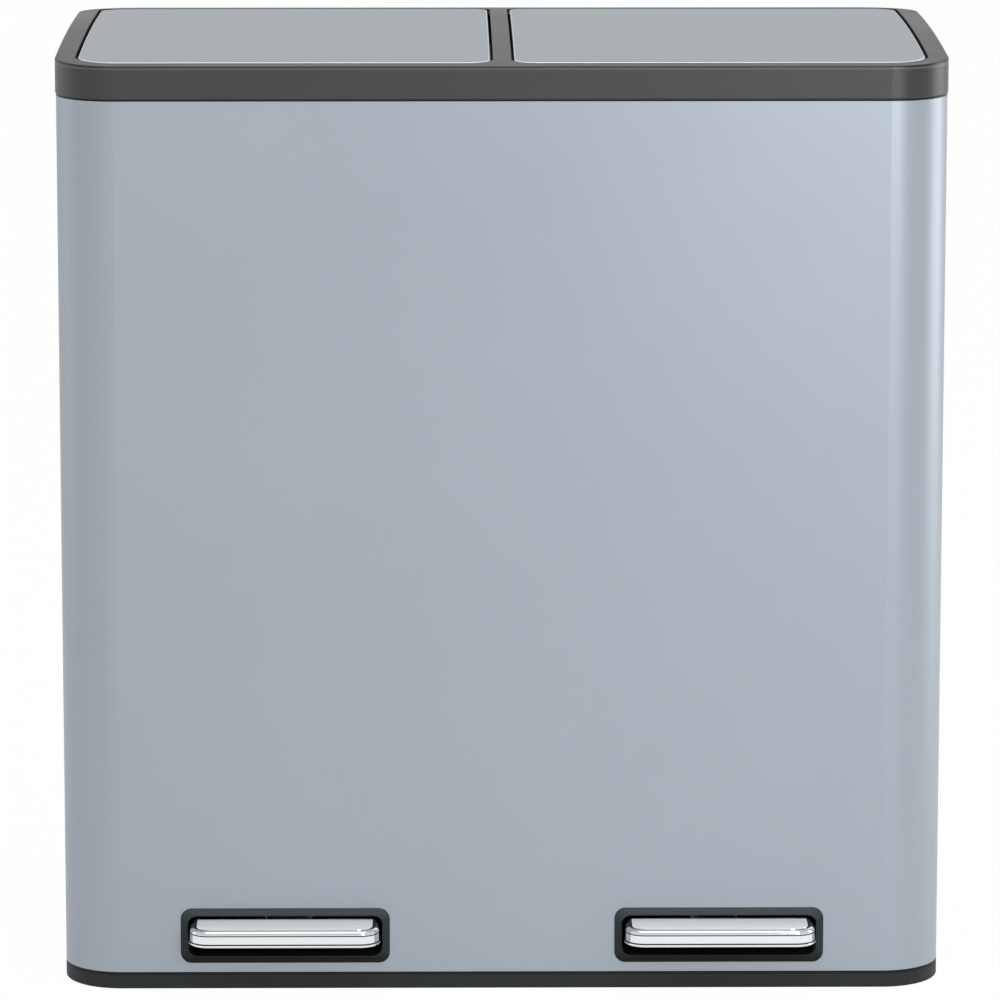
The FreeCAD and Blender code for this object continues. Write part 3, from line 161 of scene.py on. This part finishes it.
def fine_skin_group():
    """A finish's fine relief, its slow patches of tone and a few faint rubbed specks."""
    group = bpy.data.node_groups.new("fine_skin", "ShaderNodeTree")
    face = group.interface
    face.new_socket("Vector", in_out="INPUT", socket_type="NodeSocketVector")
    for name in ("Grain Scale", "Patch Scale", "Rough Low", "Rough High"):
        face.new_socket(name, in_out="INPUT", socket_type="NodeSocketFloat")
    for name in ("Relief", "Patch", "Roughness", "Specks"):
        face.new_socket(name, in_out="OUTPUT", socket_type="NodeSocketFloat")
    given = group.nodes.new("NodeGroupInput")
    taken = group.nodes.new("NodeGroupOutput")
    fine = group.nodes.new("ShaderNodeTexNoise")
    fine.inputs["Detail"].default_value = 3.0
    patch = group.nodes.new("ShaderNodeTexNoise")
    patch.inputs["Detail"].default_value = 4.0
    patch.inputs["Roughness"].default_value = 0.6
    speck = group.nodes.new("ShaderNodeTexNoise")
    speck.inputs["Detail"].default_value = 2.0
    speck.inputs["Scale"].default_value = 130.0
    group.links.new(given.outputs["Vector"], speck.inputs["Vector"])
    for noise, scale in ((fine, "Grain Scale"), (patch, "Patch Scale")):
        group.links.new(given.outputs["Vector"], noise.inputs["Vector"])
        group.links.new(given.outputs[scale], noise.inputs["Scale"])
    spread = ramp(group, patch.outputs["Fac"], 0.3, 0.7)
    rough = group.nodes.new("ShaderNodeMapRange")
    group.links.new(spread, rough.inputs["Value"])
    group.links.new(given.outputs["Rough Low"], rough.inputs["To Min"])
    group.links.new(given.outputs["Rough High"], rough.inputs["To Max"])
    group.links.new(fine.outputs["Fac"], taken.inputs["Relief"])
    group.links.new(spread, taken.inputs["Patch"])
    group.links.new(rough.outputs[0], taken.inputs["Roughness"])
    group.links.new(ramp(group, speck.outputs["Fac"], 0.66, 0.74), taken.inputs["Specks"])
    return group


fine_skin = fine_skin_group()


def finish_of(name, tones, roughness, grain, relief, patch=6.0, metal=0.0, stretch=(1, 1, 1), gloss=0.5,
              speck=0.0):
    """One of the bin's finishes: two near tones in patches, a fine relief and faint lighter specks."""
    finish = bpy.data.materials.new(name)
    finish.use_nodes = True
    tree = finish.node_tree
    shader = tree.nodes["Principled BSDF"]
    shader.inputs["Metallic"].default_value = metal
    shader.inputs["Specular IOR Level"].default_value = gloss
    where = tree.nodes.new("ShaderNodeTexCoord")
    turn = tree.nodes.new("ShaderNodeMapping")
    turn.inputs["Scale"].default_value = stretch
    tree.links.new(where.outputs["Object"], turn.inputs["Vector"])
    skin = tree.nodes.new("ShaderNodeGroup")
    skin.node_tree = fine_skin
    tree.links.new(turn.outputs[0], skin.inputs["Vector"])
    skin.inputs["Grain Scale"].default_value = grain
    skin.inputs["Patch Scale"].default_value = patch
    skin.inputs["Rough Low"].default_value, skin.inputs["Rough High"].default_value = roughness
    tint = tree.nodes.new("ShaderNodeMix")
    tint.data_type = "RGBA"
    tint.inputs["A"].default_value = (*tones[0], 1)
    tint.inputs["B"].default_value = (*tones[1], 1)
    tree.links.new(skin.outputs["Patch"], tint.inputs["Factor"])
    dusted = tree.nodes.new("ShaderNodeMix")
    dusted.data_type = "RGBA"
    dusted.inputs["B"].default_value = (*(min(1.0, 1.25 * c + 0.02) for c in tones[1]), 1)
    tree.links.new(worked_out(tree, "MULTIPLY", skin.outputs["Specks"], speck), dusted.inputs["Factor"])
    tree.links.new(tint.outputs["Result"], dusted.inputs["A"])
    tree.links.new(dusted.outputs["Result"], shader.inputs["Base Color"])
    tree.links.new(skin.outputs["Roughness"], shader.inputs["Roughness"])
    bump = tree.nodes.new("ShaderNodeBump")
    bump.inputs["Strength"].default_value = relief
    bump.inputs["Distance"].default_value = 0.0002
    tree.links.new(skin.outputs["Relief"], bump.inputs["Height"])
    tree.links.new(bump.outputs[0], shader.inputs["Normal"])
    return finish


def dress(node, finish):
    """Gives a CAD node its finish."""
    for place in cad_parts[node].material_slots:
        place.material = finish


def lay_tone(finish, share, tone):
    """Lays a tone over a finish's colour, by a share that changes over the surface."""
    tree = finish.node_tree
    colour = tree.nodes["Principled BSDF"].inputs["Base Color"]
    over = tree.nodes.new("ShaderNodeMix")
    over.data_type = "RGBA"
    over.inputs["B"].default_value = (*tone, 1)
    tree.links.new(colour.links[0].from_socket, over.inputs["A"])
    tree.links.new(share, over.inputs["Factor"])
    tree.links.new(over.outputs["Result"], colour)


def within(tree, value, rise_over, fall_over):
    """A share that rises over one range of a value and falls over another."""
    return worked_out(tree, "MULTIPLY", ramp(tree, value, *rise_over), ramp(tree, value, *fall_over))


def tone_by_height(finish, low, high, tone):
    """Gives a finish another tone between two heights, for a painted shadow where two pieces meet or a
    painted highlight along an edge.
    """
    tree = finish.node_tree
    soft_edge = 0.0001
    where = tree.nodes.new("ShaderNodeTexCoord")
    split = tree.nodes.new("ShaderNodeSeparateXYZ")
    tree.links.new(where.outputs["Object"], split.inputs[0])
    lay_tone(finish, within(tree, split.outputs["Z"], (low - soft_edge, low), (high + soft_edge, high)), tone)


sleeve_low, sleeve_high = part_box("outer_shell")
sleeve_foot, sleeve_top = sleeve_low[2], sleeve_high[2]
tray_plastic = finish_of("tray_plastic", ((0.012, 0.015, 0.016), (0.015, 0.018, 0.019)), (0.50, 0.60), 1400,
                         0.25, gloss=0.3, speck=0.15)
# Painted shadow: a near-black band along the tray's top, just under the sleeve's foot, where the two meet.
tone_by_height(tray_plastic, sleeve_foot - 0.0013, sleeve_foot - 0.0001, (0.001, 0.001, 0.001))
dress("base_tray", tray_plastic)
foot_rubber = finish_of("foot_rubber", ((0.016, 0.016, 0.016), (0.022, 0.022, 0.022)), (0.75, 0.85), 900, 0.4,
                        gloss=0.25)


def flat_blank(mesh, width, depth, corners):
    """A flat face about the origin with rounded corners: front left, front right, back right, back left."""
    made = bmesh.ops.create_grid(mesh, x_segments=1, y_segments=1, size=0.5)["verts"]
    bmesh.ops.scale(mesh, vec=(width, depth, 1), verts=made)
    for corner, radius in zip(((-1, -1), (1, -1), (1, 1), (-1, 1)), corners):
        tip = Vector((corner[0] * width / 2, corner[1] * depth / 2, 0))
        at_tip = [v for v in mesh.verts if (v.co - tip).length < 1e-6]
        bmesh.ops.bevel(mesh, geom=at_tip, offset=radius, segments=10, profile=0.5, affect="VERTICES",
                        material=-1)
    return next(iter(mesh.faces))


def follow_profile(mesh, face, width, depth, profile, keep_first=True):
    """Carries a blank's face through a list of (inset, height) steps, and returns the last face."""
    inset, height = profile[0]
    rim = list(face.verts)
    bmesh.ops.scale(mesh, vec=((width - 2 * inset) / width, (depth - 2 * inset) / depth, 1), verts=rim)
    bmesh.ops.translate(mesh, vec=(0, 0, height), verts=rim)
    for number, (next_inset, next_height) in enumerate(profile[1:]):
        if number == 0 and keep_first:
            grown = bmesh.ops.extrude_face_region(mesh, geom=[face], use_keep_orig=True)["geom"]
            face = next(g for g in grown if isinstance(g, bmesh.types.BMFace))
        else:
            face = bmesh.ops.extrude_discrete_faces(mesh, faces=[face])["faces"][0]
        rim = list(face.verts)
        wide = (width - 2 * next_inset) / (width - 2 * inset)
        deep = (depth - 2 * next_inset) / (depth - 2 * inset)
        bmesh.ops.scale(mesh, vec=(wide, deep, 1), verts=rim)
        bmesh.ops.translate(mesh, vec=(0, 0, next_height - height), verts=rim)
        inset, height = next_inset, next_height
    return face


def finished_piece(name, mesh, finishes, body, nodes, smooth_below=40):
    """Makes a piece of a mesh, with its finishes, the body it rides on and the nodes that it stands for."""
    bmesh.ops.remove_doubles(mesh, verts=mesh.verts[:], dist=1e-7)
    bmesh.ops.recalc_face_normals(mesh, faces=mesh.faces[:])
    for face in mesh.faces:
        face.smooth = True
    for edge in mesh.edges:
        edge.smooth = len(edge.link_faces) == 2 and edge.calc_face_angle() < math.radians(smooth_below)
    piece = bpy.data.objects.new(name, bpy.data.meshes.new(name))
    mesh.to_mesh(piece.data)
    mesh.free()
    for finish in finishes:
        piece.data.materials.append(finish)
    bpy.context.scene.collection.objects.link(piece)
    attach(piece, body)
    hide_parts(*nodes)


def add_mesh(group, part):
    """Adds a mesh in the making to another, and frees it."""
    carrier = bpy.data.meshes.new("carrier")
    part.to_mesh(carrier)
    part.free()
    group.from_mesh(carrier)
    bpy.data.meshes.remove(carrier)


foot_radius, foot_across, front_foot, rear_foot = 0.015, 0.2495, -0.114, 0.145
foot_edge = [(0.0, 0.002), (0.0, 0.0006), (0.0004, 0.0002), (0.0010, 0.0)]
first_groove, groove_pitch, groove_depth = 0.0024, 0.0026, 0.0007
feet = bmesh.new()
for foot_x in (-foot_across, foot_across):
    for foot_y in (front_foot, rear_foot):
        foot = bmesh.new()
        bmesh.ops.create_circle(foot, cap_ends=True, segments=48, radius=foot_radius)
        underside = list(foot_edge)
        for groove in range(4):
            at = first_groove + groove_pitch * groove
            underside += [(at, 0.0), (at + 0.0003, groove_depth)]
            underside += [(at + 0.0009, groove_depth), (at + 0.0012, 0.0)]
        follow_profile(foot, next(iter(foot.faces)), 2 * foot_radius, 2 * foot_radius, underside)
        bmesh.ops.translate(foot, vec=(foot_x, foot_y, 0), verts=foot.verts[:])
        add_mesh(feet, foot)
finished_piece("ribbed_feet", feet, [foot_rubber], "bin_body", ["rubber_feet"])

# ---- sleeve ---------------------------------------------------------------------------------------------
# The bin's body is a sleeve of thin sheet steel, rolled to a rounded rectangle and lap-seamed down its back.
# It is sprayed with a satin silver-grey metallic lacquer that dries with a very fine orange peel.
lacquer = finish_of("silver_lacquer", ((0.352, 0.394, 0.438), (0.369, 0.412, 0.456)), (0.34, 0.40), 700, 0.10,
                    patch=2.5, metal=0.50, speck=0.04)
# Painted shadow: near-black bands on the sleeve at its foot, where it meets the tray, and at its top, under
# the ring.
painted_gap_shadow = (0.004, 0.005, 0.006)
tone_by_height(lacquer, sleeve_foot - 0.0015, sleeve_foot + 0.0008, painted_gap_shadow)
tone_by_height(lacquer, sleeve_top - 0.0011, sleeve_top + 0.0005, painted_gap_shadow)
dress("outer_shell", lacquer)

# ---- top frame ------------------------------------------------------------------------------------------
# A dark grey moulded ring sits on the sleeve, with a bar between the two lids and a ledge for the buckets.
# Small rubber nibs and buffers on it take the lids' fall.
rim_plastic = finish_of("rim_plastic", ((0.026, 0.026, 0.026), (0.030, 0.030, 0.030)), (0.30, 0.38), 1600,
                        0.2, gloss=0.55, speck=0.1)
dress("top_frame", rim_plastic)
dress("lid_bumpers", foot_rubber)


def tone_by_slope(finish, rise_over, fall_over, tone):
    """Gives a finish another tone where a face looks up by more than one share and by less than another."""
    tree = finish.node_tree
    facing = tree.nodes.new("ShaderNodeNewGeometry")
    split = tree.nodes.new("ShaderNodeSeparateXYZ")
    tree.links.new(facing.outputs["Normal"], split.inputs[0])
    lay_tone(finish, within(tree, split.outputs["Z"], rise_over, fall_over), tone)


# The ring's rounded top edge has a painted dark line of shade, with a painted highlight line just below it.
painted_highlight_top = sleeve_top + 0.0208
tone_by_height(rim_plastic, painted_highlight_top - 0.0011, painted_highlight_top, (0.070, 0.073, 0.076))
tone_by_slope(rim_plastic, rise_over=(0.22, 0.30), fall_over=(0.99, 0.96), tone=(0.003, 0.003, 0.004))

# ---- rear handle ----------------------------------------------------------------------------------------
# A finger recess for lifting the bin, moulded in the same dark plastic as the base tray. It is clipped into
# an opening in the sleeve's back.
dress("rear_handle", tray_plastic)

# ---- screws in the back ---------------------------------------------------------------------------------
# Four zinc-plated pan-head screws with cross recesses. Two go through the sleeve's back into the top frame,
# and two into the base tray.
plated = finish_of("plated_steel", ((0.50, 0.50, 0.48), (0.58, 0.58, 0.57)), (0.28, 0.38), 1500, 0.1,
                   metal=1.0, speck=0.1)


def pan_head(radius, height):
    """A pan head about the origin that looks up, with a cross recess."""
    head = bmesh.new()
    bmesh.ops.create_circle(head, cap_ends=True, segments=24, radius=radius)
    dome = [(0, 0), (0, 0.35), (0.06, 0.62), (0.18, 0.84), (0.36, 0.96), (0.48, 1)]
    dome = [(inset * radius, rise * height) for inset, rise in dome]
    cap = follow_profile(head, next(iter(head.faces)), 2 * radius, 2 * radius, dome)
    between_arms, waist, narrowing, depth = 0.45, 0.42, 0.72, 0.7 * height
    pinched = [v for v in cap.verts if abs(math.sin(2 * math.atan2(v.co.y, v.co.x))) > between_arms]
    bmesh.ops.scale(head, vec=(waist, waist, 1), verts=pinched)
    cross_floor = bmesh.ops.extrude_discrete_faces(head, faces=[cap])["faces"][0]
    bmesh.ops.scale(head, vec=(narrowing, narrowing, 1), verts=list(cross_floor.verts))
    bmesh.ops.translate(head, vec=(0, 0, -depth), verts=list(cross_floor.verts))
    return head


head_radius, head_height = 0.004, 0.002
face_back = Vector((0, 1, 0)).to_track_quat("Z", "X").to_matrix().to_4x4()
for name, node in (("frame_pan_heads", "frame_screws"), ("base_pan_heads", "base_screws")):
    low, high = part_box(node)
    pair = bmesh.new()
    for number, x in enumerate((low[0] + head_radius, high[0] - head_radius)):
        head = pan_head(head_radius, head_height)
        seat = Vector((x, high[1] - head_height, (low[2] + high[2]) / 2))
        driven_to = Matrix.Rotation(0.5 + 0.9 * number, 3, "Z")
        bmesh.ops.rotate(head, cent=(0, 0, 0), matrix=driven_to, verts=head.verts[:])
        bmesh.ops.transform(head, matrix=Matrix.Translation(seat) @ face_back, verts=head.verts[:])
        add_mesh(pair, head)
    finished_piece(name, pair, [plated], "bin_body", [node])

# ---- lids -----------------------------------------------------------------------------------------------
# Each lid is a pressed steel skin over a black moulded liner, in a copy of the sleeve's lacquer made a shade
# paler:
# painted light for the lids' upward faces. The liner carries the hinge bores for blued steel pins, and at its
# back a lug whose slot takes the push rod's bent end.
lid_lacquer = finish_of("lid_lacquer", ((0.385, 0.428, 0.462), (0.400, 0.443, 0.478)), (0.36, 0.42), 700,
                        0.10, patch=2.5, metal=0.50, speck=0.04)
# The lids' folded edges carry a painted highlight, a pale line along each of them.
tone_by_slope(lid_lacquer, rise_over=(0.35, 0.45), fall_over=(0.985, 0.96), tone=(0.80, 0.83, 0.85))
liner_plastic = finish_of("liner_plastic", ((0.030, 0.031, 0.033), (0.038, 0.039, 0.041)), (0.45, 0.55), 1200,
                          0.2)
slick_plastic = finish_of("slick_plastic", ((0.018, 0.018, 0.019), (0.024, 0.024, 0.026)), (0.35, 0.45), 1200,
                          0.1)
blued = finish_of("blued_steel", ((0.030, 0.031, 0.034), (0.045, 0.046, 0.050)), (0.40, 0.50), 900, 0.1,
                  metal=1.0)
for side in ("left", "right"):
    dress(f"lid_panel_{side}", lid_lacquer)
    dress(f"lid_liner_{side}", liner_plastic)
    dress(f"lid_lug_{side}", slick_plastic)
    dress(f"lug_screws_{side}", plated)
    dress(f"hinge_pins_{side}", blued)

# ---- push rods and dampers ------------------------------------------------------------------------------
# A bent steel rod goes up the back from each pedal to its lid, through two moulded guides. Its foot is a
# black moulded shoe, and a small air damper beside it slows the lid's fall.
for side in ("left", "right"):
    for node in ("rod_foot", "rod_guides", "damper_link", "damper_cylinder"):
        dress(f"{node}_{side}", slick_plastic)
    for node in ("push_rod", "damper_piston"):
        dress(f"{node}_{side}", plated)

# ---- pedals ---------------------------------------------------------------------------------------------
# A pressed steel lever turns on an axle in a bracket on the base. Its front carries a hollow chromed cap,
# with a lip round its foot, a bead round its top and grooves painted near-black as shade. The tread is
# brushed to a satin sheen.
chrome = finish_of("pedal_chrome", ((0.86, 0.87, 0.88), (0.90, 0.91, 0.92)), (0.05, 0.09), 400, 0.02,
                   metal=1.0)
satin = finish_of("pedal_satin", ((0.90, 0.93, 0.94), (0.93, 0.96, 0.97)), (0.30, 0.36), 260, 0.06, metal=0.1,
                  stretch=(1, 12, 12))
# Painted shade: a near-black finish for the faces down in the cap's grooves.
painted_groove_shade = finish_of("pedal_groove_shade", ((0.02, 0.02, 0.02), (0.03, 0.03, 0.03)), (0.5, 0.6), 400, 0.05,
                      gloss=0.2)
cap_corners = (0.013, 0.013, 0.0044, 0.0044)
cap_side_mm = [
    (2.8, 9.3), (2.8, 0), (1.3, 0), (0.7, 0.25), (0.3, 0.7), (0.05, 1.3), (0.15, 1.8), (0.5, 1.9),
    (0.9, 1.95), (1.3, 2.0), (1.3, 2.5), (1.0, 2.55), (1.0, 2.8), (1.0, 7.3), (1.0, 7.6), (1.4, 7.65),
    (1.4, 8.3), (1.05, 8.35), (1.1, 9.1), (1.35, 9.8), (1.9, 10.5), (2.7, 11.0), (3.3, 11.15),
    (3.4, 10.8), (5.3, 10.8), (5.4, 11.15), (6.0, 11.2), (12.0, 11.25),
]
grooves_mm = ((1.99, 2.51), (7.64, 8.31), (10.79, 10.81))
tread_above_mm = 11.14
slope_start, slope_foot, slope_drop = 0.0125, 0.0088, 0.0035
for side in ("left", "right"):
    for node in ("pedal_bracket", "bracket_screws", "pedal_axle", "pedal_lever", "pad_screws"):
        dress(f"{node}_{side}", plated)
    low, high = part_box(f"pedal_pad_{side}")
    width, depth = high[0] - low[0], high[1] - low[1]
    cap = bmesh.new()
    blank = flat_blank(cap, width, depth, cap_corners)
    follow_profile(cap, blank, width, depth, [(inset / 1000, height / 1000) for inset, height in cap_side_mm])
    for face in cap.faces:
        heights = [v.co.z * 1000 for v in face.verts]
        if any(bottom < min(heights) and max(heights) < top for bottom, top in grooves_mm):
            face.material_index = 2
        elif min(heights) > tread_above_mm:
            face.material_index = 1
    bmesh.ops.bisect_plane(cap, geom=cap.faces[:] + cap.edges[:] + cap.verts[:], plane_co=(0, slope_start, 0),
                           plane_no=(0, 1, 0))
    behind = [v for v in cap.verts if v.co.y > slope_start + 0.0001 and v.co.z > slope_foot]
    bmesh.ops.translate(cap, vec=(0, 0, -slope_drop), verts=behind)
    on_lever = ((low[0] + high[0]) / 2, (low[1] + high[1]) / 2, low[2])
    bmesh.ops.translate(cap, vec=on_lever, verts=cap.verts[:])
    finished_piece(f"pedal_cap_{side}", cap, [chrome, satin, painted_groove_shade], f"pedal_{side}",
                   [f"pedal_pad_{side}"], smooth_below=50)

# ---- pedal surrounds ------------------------------------------------------------------------------------
# A dark moulded bezel snaps into each opening of the sleeve. Its face slopes up from the steel to the edge of
# the opening, and its duct runs back inside, so that the pedal moves without touching bare sheet metal.
bezel_plastic = finish_of("bezel_plastic", ((0.007, 0.009, 0.010), (0.010, 0.012, 0.013)), (0.45, 0.55), 1400,
                          0.15, gloss=0.15)
# A painted highlight makes it paler where its face leans upwards towards the light, but not down in the duct.
tone_by_slope(bezel_plastic, rise_over=(-0.25, 0.30), fall_over=(0.75, 0.50), tone=(0.045, 0.058, 0.062))
surround_corner = 0.0073
surround_section_mm = [
    (0, 0), (0, 0.35), (0.15, 0.6), (0.45, 0.75), (4.2, 1.9), (4.7, 2.0), (4.95, 1.85), (5.0, 1.5),
    (5.0, -14.0), (3.0, -14.0), (3.0, 0), (0, 0),
]
for side in ("left", "right"):
    low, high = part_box(f"pedal_bezel_{side}")
    width, height = high[0] - low[0], high[2] - low[2]
    surround = bmesh.new()
    blank = flat_blank(surround, width, height, (surround_corner,) * 4)
    last = follow_profile(surround, blank, width, height,
                          [(inset / 1000, proud / 1000) for inset, proud in surround_section_mm],
                          keep_first=False)
    bmesh.ops.delete(surround, geom=[last], context="FACES_ONLY")
    upright = Matrix.Rotation(math.pi / 2, 3, "X")
    bmesh.ops.rotate(surround, cent=(0, 0, 0), matrix=upright, verts=surround.verts[:])
    on_sleeve = ((low[0] + high[0]) / 2, sleeve_low[1], (low[2] + high[2]) / 2)
    bmesh.ops.translate(surround, vec=on_sleeve, verts=surround.verts[:])
    finished_piece(f"pedal_surround_{side}", surround, [bezel_plastic], "bin_body", [f"pedal_bezel_{side}"],
                   smooth_below=30)

# ---- buckets --------------------------------------------------------------------------------------------
# Each compartment has a lift-out bucket of black-grey moulded plastic that hangs by its rim on the frame's
# ledge. A steel wire bail with a ribbed grip hangs inside it.
bucket_plastic = finish_of("bucket_plastic", ((0.045, 0.047, 0.050), (0.055, 0.057, 0.060)), (0.4, 0.5), 1000,
                           0.2)
grip_radius, rib_count, rib_pitch = 0.006, 13, 6.0
grip_end_mm = [(3.4, 0.6), (3.4, 0), (1.2, 0), (0.4, 0.3), (0, 1.0), (0, 6.0)]
far_end_mm = [(0, 89.0), (0.4, 89.7), (1.2, 90.0), (3.4, 90.0), (3.4, 89.4)]
ribs_mm = []
for rib in range(rib_count):
    at = rib_pitch * (rib + 1)
    ribs_mm += [(0, at + 3.2), (0.7, at + 3.6), (0.9, at + 4.6), (0.7, at + 5.6), (0, at + 6.0)]
grip_side = [(inset / 1000, along / 1000) for inset, along in grip_end_mm + ribs_mm + far_end_mm]
for side in ("left", "right"):
    dress(f"bucket_{side}", bucket_plastic)
    dress(f"bucket_handle_{side}", plated)
    grip = bmesh.new()
    bmesh.ops.create_circle(grip, cap_ends=True, segments=32, radius=grip_radius)
    follow_profile(grip, next(iter(grip.faces)), 2 * grip_radius, 2 * grip_radius, grip_side)
    along_x = Matrix.Rotation(math.pi / 2, 3, "Y")
    bmesh.ops.rotate(grip, cent=(0, 0, 0), matrix=along_x, verts=grip.verts[:])
    low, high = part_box(f"bucket_grip_{side}")
    on_wire = (low[0], (low[1] + high[1]) / 2, (low[2] + high[2]) / 2)
    bmesh.ops.translate(grip, vec=on_wire, verts=grip.verts[:])
    finished_piece(f"ribbed_grip_{side}", grip, [liner_plastic], f"bail_{side}", [f"bucket_grip_{side}"])
